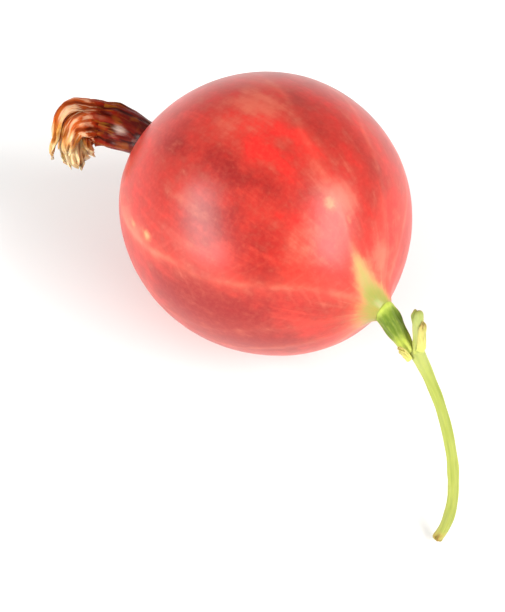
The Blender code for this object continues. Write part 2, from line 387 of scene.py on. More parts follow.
vein_mark = np.zeros_like(along)
glow_mark = np.zeros_like(along)
vein_reach = np.full_like(along, half_width)
side_mark = np.zeros_like(along)
for vein in VEINS:
    gap = off_line(around, vein_turn(vein, along), from_axis)
    width = VEIN_WIDTH * (0.75 + 0.7 * np.exp(-np.minimum(to_stalk, to_flower) / VEIN_FLARE))
    vein_mark = np.maximum(vein_mark, vein[3] * np.exp(-((gap / width) ** 2)))
    glow_mark = np.maximum(glow_mark, vein[3] * np.exp(-((gap / VEIN_GLOW) ** 2)))
    side_mark = np.where(gap < vein_reach, vein[3], side_mark)
    vein_reach = np.minimum(vein_reach, gap)


def spots(rows):
    """The sum of one bell for each row of numbers: its strength, times the exponential of minus the
    squares of the distances from its middle round and along the berry, each over its reach."""
    total = np.zeros_like(along)
    for turn, from_stalk, reach_round, reach_along, strength in rows:
        gap_round = off_line(around, math.radians(turn), from_axis) / reach_round
        gap_along = half_width * (along - math.radians(from_stalk)) / reach_along
        total = total + strength * np.exp(-(gap_round**2) - gap_along**2)
    return total


# The green of the stalk runs on into the skin: a haze all round the neck, further out on one side, and
# one long pointed streak. A pale ring of skin lies round the flower.
STREAK_LENGTH = 8.2 * MM
STREAK_TIP_WIDTH = 0.36 * MM
STREAK_FLARE = 0.82 * MM  # how much wider it is at the stalk than at its tip
HAZE_REACH = 1.9 * MM
PALE_RING_PLACE = 1.95 * MM  # from the middle of the flower, over the skin
PALE_RING_WIDTH = 0.6 * MM

streak_gap = off_line(around, vein_turn(STREAKED_VEIN, along), from_axis)
streak_width = STREAK_TIP_WIDTH + STREAK_FLARE * np.clip(1 - to_stalk / STREAK_LENGTH, 0, 1)
streak_fade = rise(STREAK_LENGTH, 0.45 * STREAK_LENGTH, to_stalk)
streak_mark = np.exp(-((streak_gap / streak_width) ** 2)) * streak_fade
haze_reach = HAZE_REACH * (1 + 0.5 * np.cos(around - 3.0) + 0.12 * np.cos(3 * around + 0.8))
neck_mark = np.exp(-((to_stalk / haze_reach) ** 2))
green_mark = 1 - (1 - streak_mark) * (1 - neck_mark)
collar_mark = np.exp(-(((to_flower - PALE_RING_PLACE) / PALE_RING_WIDTH) ** 2))

swellings = SWELLING * np.sin(5 * around + 3 * along) * np.sin(along)
skin_relief = VEIN_RELIEF * vein_mark + swellings
berry = closed_skin(
    "veined_berry",
    berry_skin(around, along, skin_relief),
    [berry_skin(0.0, math.pi, 0.0), berry_skin(0.0, 0.0, 0.0)],
    1 - row_along / math.pi,
    {
        "vein": vein_mark,
        "glow": glow_mark,
        "round_y": np.cos(around),
        "round_z": np.sin(around),
        "reach": vein_reach / MM,
        "side": side_mark,
        "length": to_stalk / MM,
        "patch": spots(PATCHES_AND_SHADE),
        "pale": spots(PALE_AND_LIT_PATCHES),
        "fleck": spots(FLECKS),
        "green": green_mark,
        "collar": collar_mark,
    },
)

CLOUD_SIZE = 3.4 * MM  # clouds of deeper and brighter flesh
MOTTLE_SIZE = 1.3 * MM
GRAIN_SIZE = 0.35 * MM  # the pores of the skin
PIT_SIZE = 0.12 * MM
PIT_DEPTH = 0.01 * MM
FIBRES_ROUND = 11.0  # fibres of the flesh in about a radius's width
FIBRES_ALONG = 0.12  # and lumps on each, in a millimetre of its length
SIDE_VEIN_SPACING = 1.3  # mm
SIDE_VEIN_SLANT = 0.9
SIDE_VEIN_REACH = (0.6, 2.8)  # mm from the main vein: where side veins start to fade, and where they end

skin = Finish(
    "ripe_gooseberry_skin",
    Subsurface_Weight=0.45,
    Subsurface_Radius=(1.0, 0.28, 0.16),
    Subsurface_Scale=1.2 * MM,
    Specular_IOR_Level=0.48,
    IOR=1.45,
)
cloud = skin.noise(CLOUD_SIZE, 3.0, 0.55)
mottle = skin.noise(MOTTLE_SIZE, 3.0, 0.6)
grain = skin.noise(GRAIN_SIZE, 3.0, 0.6)
patch = skin.mark("patch")
green = skin.mark("green")

# Fibres in the flesh run from end to end of the berry and close up towards both ends.
length = skin.mark("length")
turned = {
    "X": length * FIBRES_ALONG,
    "Y": skin.mark("round_y") * FIBRES_ROUND,
    "Z": skin.mark("round_z") * FIBRES_ROUND,
}
fibre = skin.noise(1.0, 3.0, 0.6, where=skin.node("ShaderNodeCombineXYZ", {}, turned))

uneven = 1.6 * (cloud - 0.5) + 2.4 * (mottle - 0.5) + 0.9 * (fibre - 0.5)
# Deep red mottling, and painted shade where the table of patches puts it: low on the berry and under the
# left highlight.
deep_red_and_shade = skin.fade(patch + uneven, -0.2, 1.2)
bright = skin.fade(patch * -1.0 - uneven, -0.1, 1.2)
# Thin flesh, and painted light on the top of the berry and beside the right highlight.
pale = skin.fade(skin.mark("pale") + 1.4 * (mottle - 0.5) + 1.2 * (fibre - 0.5), 0.0, 1.1)
fleck = skin.fade(skin.mark("fleck") + 0.5 * (grain - 0.5) + 0.3 * (mottle - 0.5), 0.05, 1.2)
green_edge = skin.fade(green + 0.5 * (mottle - 0.5) + 0.5 * (fibre - 0.5), 0.0, 1.25)
green_tone = skin.mix(skin.fade(length, 1.4, 3.6), shade(136, 149, 52), shade(168, 157, 84))

# Side veins leave each main vein at a slant and fade out between the main veins. Main veins come and go.
reach = skin.mark("reach")
slant = (length + SIDE_VEIN_SLANT * reach) / SIDE_VEIN_SPACING + 1.5 * skin.noise(2.0 * MM, 2.0)
side_gap = (slant.math("FRACT") - 0.5).math("ABSOLUTE")
side_vein = (1.0 - skin.fade(side_gap, 0.03, 0.22)) * (1.0 - skin.fade(reach, *SIDE_VEIN_REACH))
side_vein = side_vein * skin.mark("side") * skin.fade(skin.noise(2.6 * MM, 2.0), 0.4, 0.65)
vein_show = skin.mark("vein") * (0.3 + 0.7 * skin.fade(skin.noise(2.0 * MM, 1.0), 0.35, 0.6))

flesh = skin.mix(0.25 + 0.5 * mottle, shade(178, 31, 22), shade(184, 45, 32))
flesh_layers = (
    (skin.fade(fibre, 0.5, 0.8), 0.6, shade(180, 18, 13)),  # deep red fibres
    (skin.fade(fibre, 0.5, 0.2), 0.3, shade(220, 78, 58)),  # paler fibres between them
    # deep red patches, and painted shade on the lower side and under the left highlight
    (deep_red_and_shade, 0.95, shade(143, 13, 10)),
    (bright, 0.85, shade(221, 31, 24)),
    # thin flesh, and painted light on the top and beside the right highlight
    (pale, 0.55, shade(230, 118, 92)),
    (skin.mark("glow"), 0.16, shade(226, 96, 74)),
    (skin.fade(grain, 0.35, 0.75), 0.1, shade(228, 104, 80)),  # pale pores
    (side_vein, 0.12, shade(234, 124, 96)),
    (vein_show, 0.28, shade(238, 136, 104)),
    (skin.mark("collar"), 0.1 + 0.7 * mottle, shade(236, 164, 104)),
    (fleck, 0.7, shade(250, 186, 122)),
    (green_edge, 0.7, shade(228, 176, 124)),  # a pale hem round the green
    (skin.fade(green_edge, 0.1, 1.15), 1.0, green_tone),
)
colour = skin.lay_over(flesh, flesh_layers)
skin.paint(Base_Color=colour, Roughness=0.25 + 0.1 * mottle + 0.06 * grain)
skin.bump(0.6 * grain + 0.4 * skin.noise(PIT_SIZE, 2.0), PIT_DEPTH)
berry.data.materials.append(skin.material)
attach(berry, "root")
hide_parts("berry")


# ------------------------------------------------------------------------------
# Flower tube. The dry tube of the spent flower, which stays on the far end of the berry: five ribs and
# the creases between them, dark as old varnish where it meets the skin.
# ------------------------------------------------------------------------------
FLOWER_LINE = (
    (-11.35, -0.80, 9.62),
    (-12.60, -0.89, 9.47),
    (-14.75, -1.42, 9.36),
    (-16.15, -2.19, 9.18),
    (-16.77, -3.24, 8.72),
    (-16.40, -4.34, 7.98),
    (-15.55, -5.03, 7.34),
)
TUBE_ROWS = 150
TUBE_COLUMNS = 200

# How far along the flower's line each row of the tube lies, by the share of rows: it runs out to its rim,
# over it, and back down inside the mouth. Then its radius in mm, by the share of the line, and how much
# the rows that turn in are narrower, by the share of rows again.
TUBE_COURSE = ((0, -0.03), (0.82, 0.53), (0.92, 0.55), (1, 0.47))
TUBE_RADII = ((-0.03, 1.34), (0.03, 1.34), (0.12, 1.44), (0.25, 1.64), (0.38, 1.76), (0.5, 1.66))
TUBE_MOUTH = ((0, 1), (0.8, 1), (0.88, 0.97), (0.94, 0.8), (1, 0.3))

GLINT_FLECK_PLACE = 0.26  # a pale spot on the tube, a painted highlight of a glossy rib over a dry pale fleck: its share of the line, and its angle round it
GLINT_FLECK_ANGLE = math.radians(320)
GLINT_FLECK_REACH = (math.radians(16), 0.085)
RIB_HEIGHT = 0.17 * MM
PLEAT_HEIGHT = 0.07 * MM
CREASE_HEIGHT = 0.07 * MM
FIBRE_DEPTH = 0.05 * MM
RIDGE_UNIT = 0.2 * MM  # the height at which a ridge counts as full for the colours


def read_off(rows, at):
    """The value at each place, on straight lines between rows of a place and its value."""
    places, values = zip(*rows)
    return np.interp(at, places, values)


class Line:
    """A smooth line through points given in mm, and two unit vectors across it at each place. Between
    two points it is the curve of third degree whose slope at each of them is half the step from the
    point before it to the one after, and the vectors turn with it without twisting."""

    def __init__(self, points, first_side):
        knots = np.array(points, float) * MM
        knots = np.vstack([2 * knots[0] - knots[1], knots, 2 * knots[-1] - knots[-2]])
        before, start, end, after = (knots[first : len(knots) - 3 + first, None] for first in range(4))
        t = np.linspace(0, 1, 40, endpoint=False)[None, :, None]
        slope = end - before
        bend = 2 * before - 5 * start + 4 * end - after
        turn = 3 * start - before - 3 * end + after
        fine = ((2 * start + slope * t + bend * t**2 + turn * t**3) / 2).reshape(-1, 3)
        fine = np.vstack([fine, knots[-2]])
        walked = np.concatenate([[0], np.cumsum(np.linalg.norm(np.diff(fine, axis=0), axis=1))])
        self.length = walked[-1]
        self.shares = np.linspace(0, 1, 241)
        self.places = self.read(fine, walked / walked[-1], self.shares)
        ahead = np.gradient(self.places, axis=0)
        self.ahead = ahead / np.linalg.norm(ahead, axis=1)[:, None]
        side = np.array(first_side, float)
        sides = []
        for direction in self.ahead:
            side = side - (side @ direction) * direction
            side = side / np.linalg.norm(side)
            sides.append(side)
        self.sides = np.array(sides)

    @staticmethod
    def read(rows, at, wanted):
        """The rows' vectors at the wanted places, each part of them on straight lines between rows."""
        return np.stack([np.interp(wanted, at, rows[:, axis]) for axis in range(3)], -1)

    def around(self, share, angle, distance):
        """The point that far from the line, at that angle round it. Shares past either end run on
        straight along the line's last direction."""
        inside = np.clip(share, 0, 1)
        place, ahead, side = (
            self.read(rows, self.shares, inside) for rows in (self.places, self.ahead, self.sides)
        )
        side = side / np.linalg.norm(side, axis=-1, keepdims=True)
        cross = np.cross(ahead, side)
        out = np.cos(angle)[..., None] * side + np.sin(angle)[..., None] * cross
        return place + ((share - inside) * self.length)[..., None] * ahead + distance[..., None] * out


def crumple(angle, share, seed, waves, most_round, most_along):
    """Dry creases, about -1 to 1: a sum of sine waves, each a whole number of waves round the piece and
    a few along it, weaker as they get finer, drawn from a seeded generator."""
    draw = np.random.default_rng(seed)
    total = np.zeros(np.broadcast(angle, share).shape)
    for _ in range(waves):
        waves_round = draw.integers(2, most_round + 1)
        waves_along = draw.uniform(-most_along, most_along)
        strength = 1.6 / math.sqrt(waves * (1 + waves_round / 6))
        total = total + strength * np.sin(
            waves_round * angle + math.tau * waves_along * share + draw.uniform(0, math.tau)
        )
    return total


def rib(angle, count, sharpness):
    """One on each of count ribs round a stem and falling to nought midway between them: one minus the
    size of the sine, raised to a power that makes the rib narrower."""
    return (1 - np.abs(np.sin(count * angle / 2))) ** sharpness


def flower_creases(angle, share):
    """How far the dry flower stands out or in, in metres: five ribs, finer pleats between them that
    twist slowly along it, and creases."""
    twist = angle + 0.5 * share
    ribs = RIB_HEIGHT * (rib(twist + 0.3, 5, 1.4) - 0.4)
    pleats = PLEAT_HEIGHT * np.cos(15 * twist + 3 * np.sin(5 * share))
    settled = 1 - 0.45 * rise(0.4, 0.7, share)
    dried = 0.2 + 0.8 * rise(0.22, 0.48, share)
    ridges = (0.5 + 0.5 * dried) * ribs + dried * pleats
    return settled * ridges + CREASE_HEIGHT * dried * crumple(angle, share, 11, 14, 16, 6)


flower_line = Line(FLOWER_LINE, (0, 0, 1))
step = np.linspace(0, 1, TUBE_ROWS)
tube_share = read_off(TUBE_COURSE, step)
tube_radius = MM * read_off(TUBE_RADII, tube_share) * read_off(TUBE_MOUTH, step)
angle, row = np.meshgrid(np.arange(TUBE_COLUMNS) * math.tau / TUBE_COLUMNS, np.arange(TUBE_ROWS))
share = tube_share[row]
creases = flower_creases(angle, share) * rise(-0.05, 0.06, share)
tube_rings = flower_line.around(share, angle, tube_radius[row] + creases)
tube_ends = [tube_rings[0].mean(axis=0), tube_rings[-1].mean(axis=0)]
glint_fleck_turn = (angle - GLINT_FLECK_ANGLE + math.pi) % math.tau - math.pi
tube_marks = {
    "from_berry": share,
    "ridge": creases / RIDGE_UNIT,
    "edge": np.zeros_like(share),
    "scar": np.exp(-((glint_fleck_turn / GLINT_FLECK_REACH[0]) ** 2) - ((share - GLINT_FLECK_PLACE) / GLINT_FLECK_REACH[1]) ** 2),
}
tube = closed_skin("ribbed_flower_tube", tube_rings, tube_ends, step, tube_marks)

# The colours of the dry flower from the berry to its tips.
flower_stops = (
    (0.0, shade(80, 6, 3)),
    (0.3, shade(114, 12, 3)),
    (0.55, shade(130, 26, 4)),
    (0.62, shade(174, 66, 20)),
    (0.75, shade(198, 94, 30)),
    (0.88, shade(222, 148, 66)),
    (1.0, shade(252, 222, 168)),
)


def dry_flower(name, lightness):
    """The finish of the spent flower: dark and a little glossy at the berry, red-brown, then tan and
    papery towards its tips, paler along its edges, with a painted highlight along its ridges, painted
    shade in its grooves, a painted highlight on the tube, and fine fibres along its length."""
    finish = Finish(
        name,
        Subsurface_Weight=0.3,
        Subsurface_Radius=(1.0, 0.5, 0.25),
        Subsurface_Scale=0.5 * MM,
        Specular_IOR_Level=0.04,
        Coat_Roughness=0.2,
    )
    blotch = finish.noise(0.9 * MM, 3.0, 0.6)
    fibre = finish.strands(50.0, 5.0)
    strand = finish.strands(24.0, 3.0, 2.0, 0.5)
    streak = finish.strands(34.0, 2.2)
    ridge = finish.mark("ridge")
    reached = finish.mark("from_berry") + 0.24 * (blotch - 0.5) + 0.08 * finish.mark("edge") + lightness
    papery = finish.fade(reached, 0.45, 0.75)

    # A painted highlight along the ridges, stronger on the papery part.
    ridge_highlight = finish.fade(ridge, 0.1, 1.0) * (0.1 + 0.55 * finish.fade(reached, 0.56, 0.68))
    stain = finish.fade(finish.noise(1.1 * MM, 2.0), 0.5, 0.7) * finish.fade(reached, 0.62, 0.5)
    bleached = finish.fade(strand, 0.49, 0.62) * finish.fade(reached, 0.54, 0.66)
    bleached = bleached * finish.fade(reached, 0.98, 0.78)
    sooty = finish.fade(strand, 0.47, 0.37) * finish.fade(reached, 1.0, 0.8)
    olive = finish.fade(streak, 0.53, 0.64) * finish.fade(reached, 0.15, 0.4)
    olive = olive * finish.fade(reached, 0.62, 0.5)
    # A painted highlight on the tube, over a dry pale fleck, streaked by the fibres.
    scar = finish.fade(finish.mark("scar") * (0.1 + 1.7 * fibre), 0.25, 1.3)

    ground = finish.node("ShaderNodeValToRGB", {"stops": flower_stops}, {"Fac": reached})
    layers = (
        # painted shade in the grooves between the ribs
        (finish.fade(ridge, 0.2, -0.8), 0.75, finish.mix(papery, shade(44, 5, 3), shade(104, 34, 10))),
        # painted highlight along the ridge tops
        (ridge_highlight, 1.0, shade(248, 196, 150)),
        (stain, 0.5, shade(150, 84, 20)),
        (finish.fade(fibre, 0.4, 0.75), 0.35, shade(140, 48, 16)),
        (bleached, 0.58, shade(250, 204, 164)),
        (sooty, 0.7, finish.mix(papery, shade(38, 6, 3), shade(112, 34, 8))),
        (olive, 0.6, shade(146, 90, 24)),
        # painted highlight on the tube, over a dry pale fleck
        (scar, 0.85, shade(208, 184, 170)),
    )
    colour = finish.lay_over(ground, layers)
    roughness = 0.3 + 0.35 * finish.fade(reached, 0.2, 0.8)
    gloss = 0.18 * finish.fade(finish.mark("from_berry"), 0.42, 0.22)
    finish.paint(Base_Color=colour, Roughness=roughness, Coat_Weight=gloss)
    finish.bump(fibre, FIBRE_DEPTH)
    return finish


tube.data.materials.append(dry_flower("dry_flower_tube", 0.0).material)
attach(tube, "root")
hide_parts("flower_tube")


# ------------------------------------------------------------------------------
# Sepals. Five dry straps that grow from the tube's mouth and fold over together into a hook: pleated
# along their length, curled at the edges and torn at the tips.
# ------------------------------------------------------------------------------
SEPAL_ROWS = 120
SEPAL_COLUMNS = 96
SEPAL_THICKNESS = 0.14 * MM

SEPAL_HALF_ANGLE = math.radians(50)  # how far each sepal reaches round the line, either way, at its foot
TEAR = 0.06  # how far a tip is torn back, in shares of the strap
WRINKLE = 0.07 * MM

# Each sepal: where its tip ends on the flower's line, how far its edges curl, in mm, how far it leans, in
# degrees, and how far it stands from the line, in mm, at each of the places in SEPAL_PLACES.
SEPAL_PLACES = (0.44, 0.50, 0.56, 0.60, 0.63, 0.67, 0.70, 0.75, 0.82, 0.90)
SEPALS = (
    (0.90, -0.3, 6, (1.5, 1.7, 1.75, 2.0, 2.3, 2.4, 2.25, 1.9, 1.65, 1.6)),
    (0.84, 0.2, -12, (1.5, 1.7, 1.75, 1.95, 2.25, 2.4, 2.2, 1.85, 1.8, 2.3)),
    (0.92, -0.3, 12, (1.5, 1.65, 1.7, 1.75, 1.75, 1.7, 1.6, 1.5, 1.4, 1.3)),
    (0.94, 0.2, -6, (1.5, 1.6, 1.5, 1.4, 1.3, 1.15, 1.1, 1.15, 1.4, 1.5)),
    (0.91, -0.35, 8, (1.5, 1.7, 1.8, 1.95, 2.0, 1.95, 1.85, 1.7, 1.6, 1.5)),
)
SEPAL_FOOT = SEPAL_PLACES[0]


def strap(line, first, last, half_angle, distance, thickness, seed, creased=1.0):
    """A thin strap wrapped round a line. Its section is a flat lens: the cosine of the turn runs across
    it and the sine is its thickness. It keeps its width to near its tip, closes there as a root of the
    share, and its tip is torn by waves that grow with the fourth power of the share. Half angle and
    distance are functions of the share along and of the place across, -1 to 1."""
    turn, share = np.meshgrid(
        np.arange(SEPAL_COLUMNS) * math.tau / SEPAL_COLUMNS,
        np.linspace(0.004, 0.996, SEPAL_ROWS),
    )
    across = np.cos(turn)
    width = np.minimum(1, (share / 0.04) ** 0.5) * np.sqrt(np.clip(1 - share**5, 0, 1))
    ragged = TEAR * share**4 * (np.cos(5 * across + seed) + 0.6 * np.sin(9 * across + 2 * seed))
    reached = first + (last - first) * (share + ragged)
    middle, half = half_angle(share)
    angle = middle + across * width * half
    turned = turn if last > first else -turn
    creases = flower_creases(angle, reached)
    out = distance(share, across * width) + creased * creases
    out = out + WRINKLE * share * crumple(3 * across + seed, share, 60 + seed, 9, 5, 3)
    out = out + thickness / 2 * np.sin(turned) * (1 - 0.5 * across**2)
    rings = line.around(reached, angle, out)
    marks = {"from_berry": reached, "ridge": creases / RIDGE_UNIT, "edge": np.abs(across) ** 3}
    return rings, [rings[0].mean(axis=0), rings[-1].mean(axis=0)], share[:, 0], marks


sepal_finish = dry_flower("dry_sepals", 0.03)
for number, (end, curl, lean, stands) in enumerate(SEPALS):
    centre_angle = math.tau * (number + 0.5) / len(SEPALS)

    def sepal_angle(share):
        """The middle leans in proportion to the share, and the width falls by a quarter to the tip."""
        return centre_angle + math.radians(lean) * share, SEPAL_HALF_ANGLE * (1 - 0.25 * share)

    def sepal_distance(share, across):
        """Straight lines between the sepal's stands, plus a curl that grows with the share along and
        with the square of the place across."""
        reached = SEPAL_FOOT + (end - SEPAL_FOOT) * share
        return MM * (np.interp(reached, SEPAL_PLACES, stands) + curl * across**2 * share)

    parts = strap(flower_line, SEPAL_FOOT, end, sepal_angle, sepal_distance, SEPAL_THICKNESS, number)
    blade = closed_skin(f"folded_sepal_{number + 1}", *parts)
    blade.data.materials.append(sepal_finish.material)
    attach(blade, "root")
    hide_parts(f"sepal_{number + 1}")


# ------------------------------------------------------------------------------
# Petals. Two scraps of the flower's thin petals, bleached and papery, that grow from the tube's mouth
# inside the sepals and show between their tips.
# ------------------------------------------------------------------------------
PETAL_THICKNESS = 0.08 * MM
PETAL_FOOT = 0.47  # the share of the flower's line where both petals start, just inside the tube's mouth
PETAL_ENDS = (1.0, 1.03)
PETAL_HALF_ANGLE = math.radians(88)
PETAL_SEED = 20

petal_finish = dry_flower("bleached_petals", 0.3)
for number, end in enumerate(PETAL_ENDS):
    centre_angle = math.pi * (number + 0.5)

    def petal_angle(share):
        """The middle twists in proportion to the share, and the width falls a little to the tip."""
        return centre_angle + 0.4 * share, PETAL_HALF_ANGLE * (1 - 0.15 * share)

    def petal_distance(share, across):
        """A slow widening along the petal, whose edges curl with the square of the place across."""
        return MM * (0.8 + 0.2 * share + 0.2 * across**2 * share)

    seed = PETAL_SEED + number
    parts = strap(flower_line, PETAL_FOOT, end, petal_angle, petal_distance, PETAL_THICKNESS, seed)
    film = closed_skin(f"petal_scrap_{number + 1}", *parts)
    film.data.materials.append(petal_finish.material)
    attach(film, "root")
    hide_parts(f"petal_{number + 1}")


# ------------------------------------------------------------------------------
# Pedicel. The berry's own short stalk: thick and green, flared where the skin runs up into it, faintly
# ribbed, and pale at the swollen joint with the main stalk.
# ------------------------------------------------------------------------------
PEDICEL_LINE = (
    (11.38, -0.71, 10.60),
    (12.50, -0.72, 10.43),
    (13.96, -1.04, 9.92),
    (15.80, -1.47, 9.08),
)

# Each stem's radius in mm, by the share of its line.
PEDICEL_RADII = (
    (-0.05, 0.9),
    (0.1, 0.9),
    (0.24, 0.88),
    (0.4, 0.82),
    (0.62, 0.7),
    (0.8, 0.6),
    (0.92, 0.54),
    (1.06, 0.48),
)
PEDICEL_ROWS = 110
SKIN_EDGE = 0.25  # the share of the line where the berry's skin ends
SKIN_EDGE_HEIGHT = 0.015 * MM
PEDICEL_RIB_HEIGHT = 0.06 * MM
PEDICEL_UNEVENNESS = 0.03 * MM
STEM_COLUMNS = 72
STEM_RIDGE_UNIT = 0.1 * MM  # the height at which a stem's ridge counts as full for the colours
LINE_DEPTH = 0.02 * MM  # of the fine lines along a stem


def smooth_profile(radii):
    """The same profile, in metres, with its corners rounded: many more steps, then a running mean over
    a few of them."""
    steps = np.linspace(radii[0][0], radii[-1][0], 401)
    fine = MM * read_off(radii, steps)
    padded = np.pad(fine, 10, mode="reflect", reflect_type="odd")
    return steps, np.convolve(padded, np.ones(21) / 21, mode="valid")


def stem(name, line, radii, relief, rows, finish, torn=0.0):
    """A stem with rounded ends: a ring whose radius is read along the line, with relief added, carried
    along it. The ends close as a quarter circle, and the far one is torn into two lobes: it reaches
    further by torn times the cosine of twice the angle, with a finer wave on it."""
    step = np.linspace(0, 1, rows)
    first, last = radii[0][0], radii[-1][0]
    cap = MM * min(radius for _, radius in radii) / line.length
    places = first + (last - first) * step
    angle, row = np.meshgrid(np.arange(STEM_COLUMNS) * math.tau / STEM_COLUMNS, np.arange(rows))
    share = places[row]
    to_end = np.clip(np.minimum(share - first, last - share) / cap, 0.0, 1)
    rounding = np.sqrt(1 - (1 - np.maximum(to_end, 0.02)) ** 2)
    radius = np.interp(share, *smooth_profile(radii)) + relief(angle, share)
    lobes = torn / line.length * (np.cos(2 * angle + 0.9) + 0.3 * np.cos(5 * angle)) * rounding
    reached = share + lobes * rise(last - 0.25, last, share)
    rings = line.around(reached, angle, radius * rounding)
    ends = [rings[0].mean(axis=0), rings[-1].mean(axis=0)]
    marks = {"from_berry": share, "ridge": relief(angle, share) / STEM_RIDGE_UNIT}
    piece = closed_skin(name, rings, ends, step, marks)
    piece.data.materials.append(finish.material)
    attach(piece, "root")
    return piece


def pedicel_relief(angle, share):
    """Six soft ribs, a thin ring where the skin ends, and slow unevenness."""
    ring = SKIN_EDGE_HEIGHT * np.exp(-(((share - SKIN_EDGE) / 0.025) ** 2))
    ribs = PEDICEL_RIB_HEIGHT * np.cos(6 * angle) * rise(0.22, 0.42, share)
    return ribs + ring + PEDICEL_UNEVENNESS * crumple(angle, share, 5, 8, 6, 3)


def green_stem(name, stops, groove_shade):
    """The finish of a green stem: its colour runs along it through the stops, with painted shade in the
    grooves between its ribs, and fine lines along its length."""
    finish = Finish(
        name,
        Subsurface_Weight=0.15,
        Subsurface_Radius=(0.8, 1.0, 0.3),
        Subsurface_Scale=0.4 * MM,
        Specular_IOR_Level=0.2,
    )
    blotch = finish.noise(0.8 * MM, 3.0, 0.6)
    line = finish.strands(24.0, 6.0)
    reached = finish.mark("from_berry") + 0.16 * (blotch - 0.5)
    ground = finish.node("ShaderNodeValToRGB", {"stops": stops}, {"Fac": reached})
    layers = (
        # painted shade in the grooves between the ribs
        (finish.fade(finish.mark("ridge"), 0.2, -0.8), groove_shade, shade(92, 116, 26)),
        (finish.fade(line, 0.4, 0.75), 0.2, shade(214, 216, 104)),
    )
    colour = finish.lay_over(ground, layers)
    finish.paint(Base_Color=colour, Roughness=0.4 + 0.2 * blotch)
    finish.bump(line, LINE_DEPTH)
    return finish


pedicel_stops = (
    (0.15, shade(170, 182, 62)),
    (0.26, shade(178, 190, 80)),
    (0.36, shade(106, 128, 36)),
    (0.5, shade(88, 110, 28)),
    (0.68, shade(104, 122, 36)),
    (0.84, shade(166, 176, 66)),
    (1.0, shade(192, 196, 94)),
)
pedicel_line = Line(PEDICEL_LINE, (0, 0, 1))
pedicel_finish = green_stem("pedicel_skin", pedicel_stops, 0.5)
pedicel = stem("flared_pedicel", pedicel_line, PEDICEL_RADII, pedicel_relief, PEDICEL_ROWS, pedicel_finish)
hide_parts("pedicel")


# ------------------------------------------------------------------------------
# Peduncle. The long thin main stalk, yellow-green and slightly ridged, which bends down to the surface
# and ends where it was pulled off the bush, in a brown torn tip.
# ------------------------------------------------------------------------------
PEDUNCLE_LINE = (
    (16.38, -1.14, 8.99),
    (18.47, -1.88, 7.88),
    (20.35, -2.70, 6.68),
    (22.23, -3.85, 5.19),
    (23.56, -4.98, 3.72),
    (24.46, -6.13, 2.28),
    (24.86, -7.26, 1.20),
    (24.89, -8.25, 0.45),
)
PEDUNCLE_RADII = (
    (-0.04, 0.5),
    (0.0, 0.56),
    (0.04, 0.54),
    (0.12, 0.46),
    (0.3, 0.43),
    (0.7, 0.42),
    (0.93, 0.41),
    (0.97, 0.4),
    (1.0, 0.36),
)
PEDUNCLE_ROWS = 260
PEDUNCLE_RIDGE_HEIGHT = 0.025 * MM
PEDUNCLE_UNEVENNESS = 0.018 * MM
PEDUNCLE_TEAR = 0.1 * MM  # how far its torn end is uneven, both along it and across


def peduncle_relief(angle, share):
    """Five faint ridges, slow unevenness, and a torn end whose edge is crumpled."""
    torn = PEDUNCLE_TEAR * rise(0.965, 1.0, share) * np.sin(5 * angle + 1.0)
    unevenness = PEDUNCLE_UNEVENNESS * crumple(angle, share, 8, 8, 4, 8)
    return PEDUNCLE_RIDGE_HEIGHT * np.cos(5 * angle) + unevenness + torn


peduncle_stops = (
    (0.0, shade(172, 176, 98)),
    (0.2, shade(155, 161, 72)),
    (0.6, shade(158, 162, 75)),
    (0.93, shade(147, 150, 70)),
    (0.965, shade(164, 150, 76)),
    (1.0, shade(134, 92, 40)),
)
peduncle = stem(
    "curved_peduncle",
    Line(PEDUNCLE_LINE, (0, 0, 1)),
    PEDUNCLE_RADII,
    peduncle_relief,
    PEDUNCLE_ROWS,
    green_stem("peduncle_skin", peduncle_stops, 0.35),
    torn=PEDUNCLE_TEAR,
)
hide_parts("peduncle")


# ------------------------------------------------------------------------------
# Side stub. What is left of a second berry's stalk after that berry fell: short, and broken off in two
# small lobes.
# ------------------------------------------------------------------------------
STUB_LINE = (
    (16.38, -1.14, 8.99),
    (16.09, -0.76, 9.81),
    (15.68, -0.38, 10.57),
    (14.88, 0.33, 11.58),
)
STUB_RADII = ((-0.1, 0.5), (0.08, 0.5), (0.3, 0.42), (0.6, 0.44), (0.85, 0.5), (1.0, 0.48))
STUB_ROWS = 80
STUB_LOBE_HEIGHT = 0.12 * MM
STUB_UNEVENNESS = 0.03 * MM
STUB_TEAR = 0.24 * MM


def stub_relief(angle, share):
    """Two lobes that swell towards the broken end, and slow unevenness."""
    lobes = STUB_LOBE_HEIGHT * rise(0.55, 0.95, share) * np.cos(2 * angle + 0.9)
    return lobes + STUB_UNEVENNESS * crumple(angle, share, 3, 8, 5, 3)


stub_stops = (
    (0.0, shade(176, 180, 90)),
    (0.5, shade(170, 172, 102)),
    (0.8, shade(156, 162, 94)),
    (1.0, shade(138, 146, 76)),
)
stub_line = Line(STUB_LINE, (1, 0, 0))
stub = stem(
    "broken_side_stub",
    stub_line,
    STUB_RADII,
    stub_relief,
    STUB_ROWS,
    green_stem("stub_skin", stub_stops, 0.3),
    torn=STUB_TEAR,
)
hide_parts("side_stub")


# ------------------------------------------------------------------------------
# Bracts. Two small scales left at the joint of the stalks, thin and dry, cupped round the stub and the
# joint.
# ------------------------------------------------------------------------------
BRACT_THICKNESS = 0.1 * MM
BRACT_CREASING = 0.12  # how much of the flower's creasing the bracts have

bract_stops = (
    (0.0, shade(190, 194, 96)),
    (0.35, shade(196, 182, 104)),
    (0.7, shade(184, 170, 96)),
    (1.0, shade(170, 142, 82)),
)


